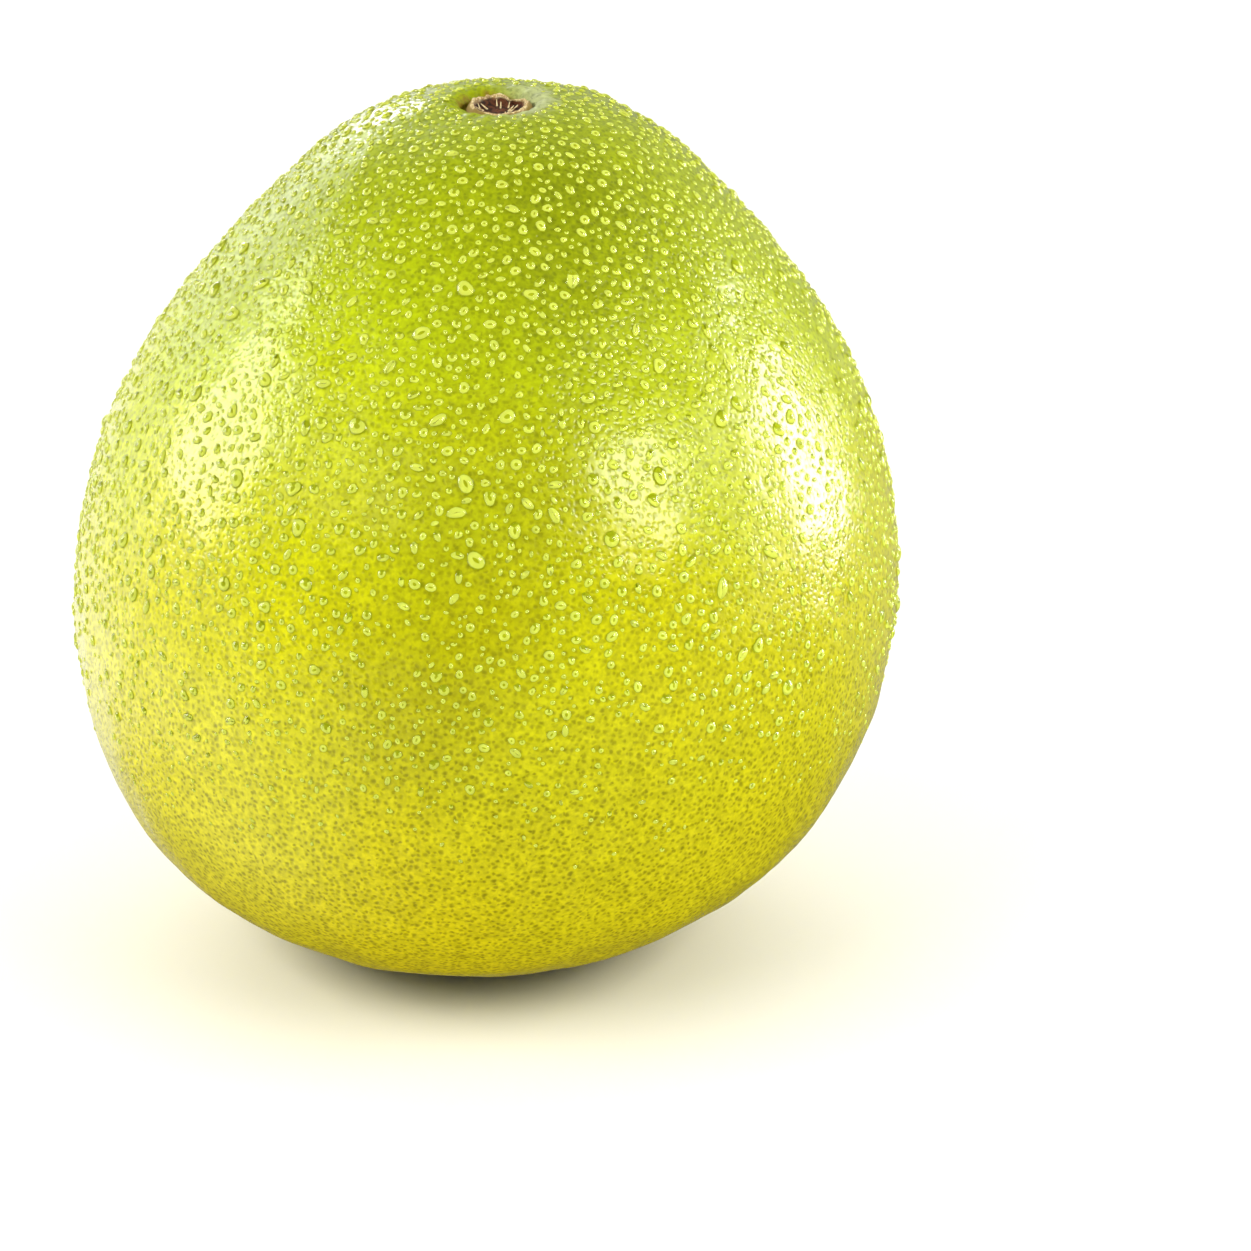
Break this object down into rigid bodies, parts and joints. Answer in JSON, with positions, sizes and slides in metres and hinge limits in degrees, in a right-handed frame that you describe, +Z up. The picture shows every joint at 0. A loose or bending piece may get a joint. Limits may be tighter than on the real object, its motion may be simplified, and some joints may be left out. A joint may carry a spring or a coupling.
{
  "type": "pomelo",
  "caption": "Whole ripe pomelo: a large pear-shaped citrus fruit with a yellow-green rind, standing on its small flat spot, with a dried stem button in its crown.",
  "frame": {"origin": "on the standing surface, under the middle of the fruit's bounding box", "axes": "+Z up along the fruit's height, from the flat spot to the stem end; -Y is the side that the crown nods to, and the crown leans slightly to +X"},
  "size_m": [0.154, 0.154, 0.1624],
  "materials": {
    "rind": "waxy yellow-green rind with fine dark oil glands",
    "dry_calyx": "dry, fibrous, tan to dark brown",
    "water": "clear water beads"
  },
  "bodies": {
    "root": {"fruit": "rind", "stem_button": "dry_calyx"}
  },
  "joints": []
}
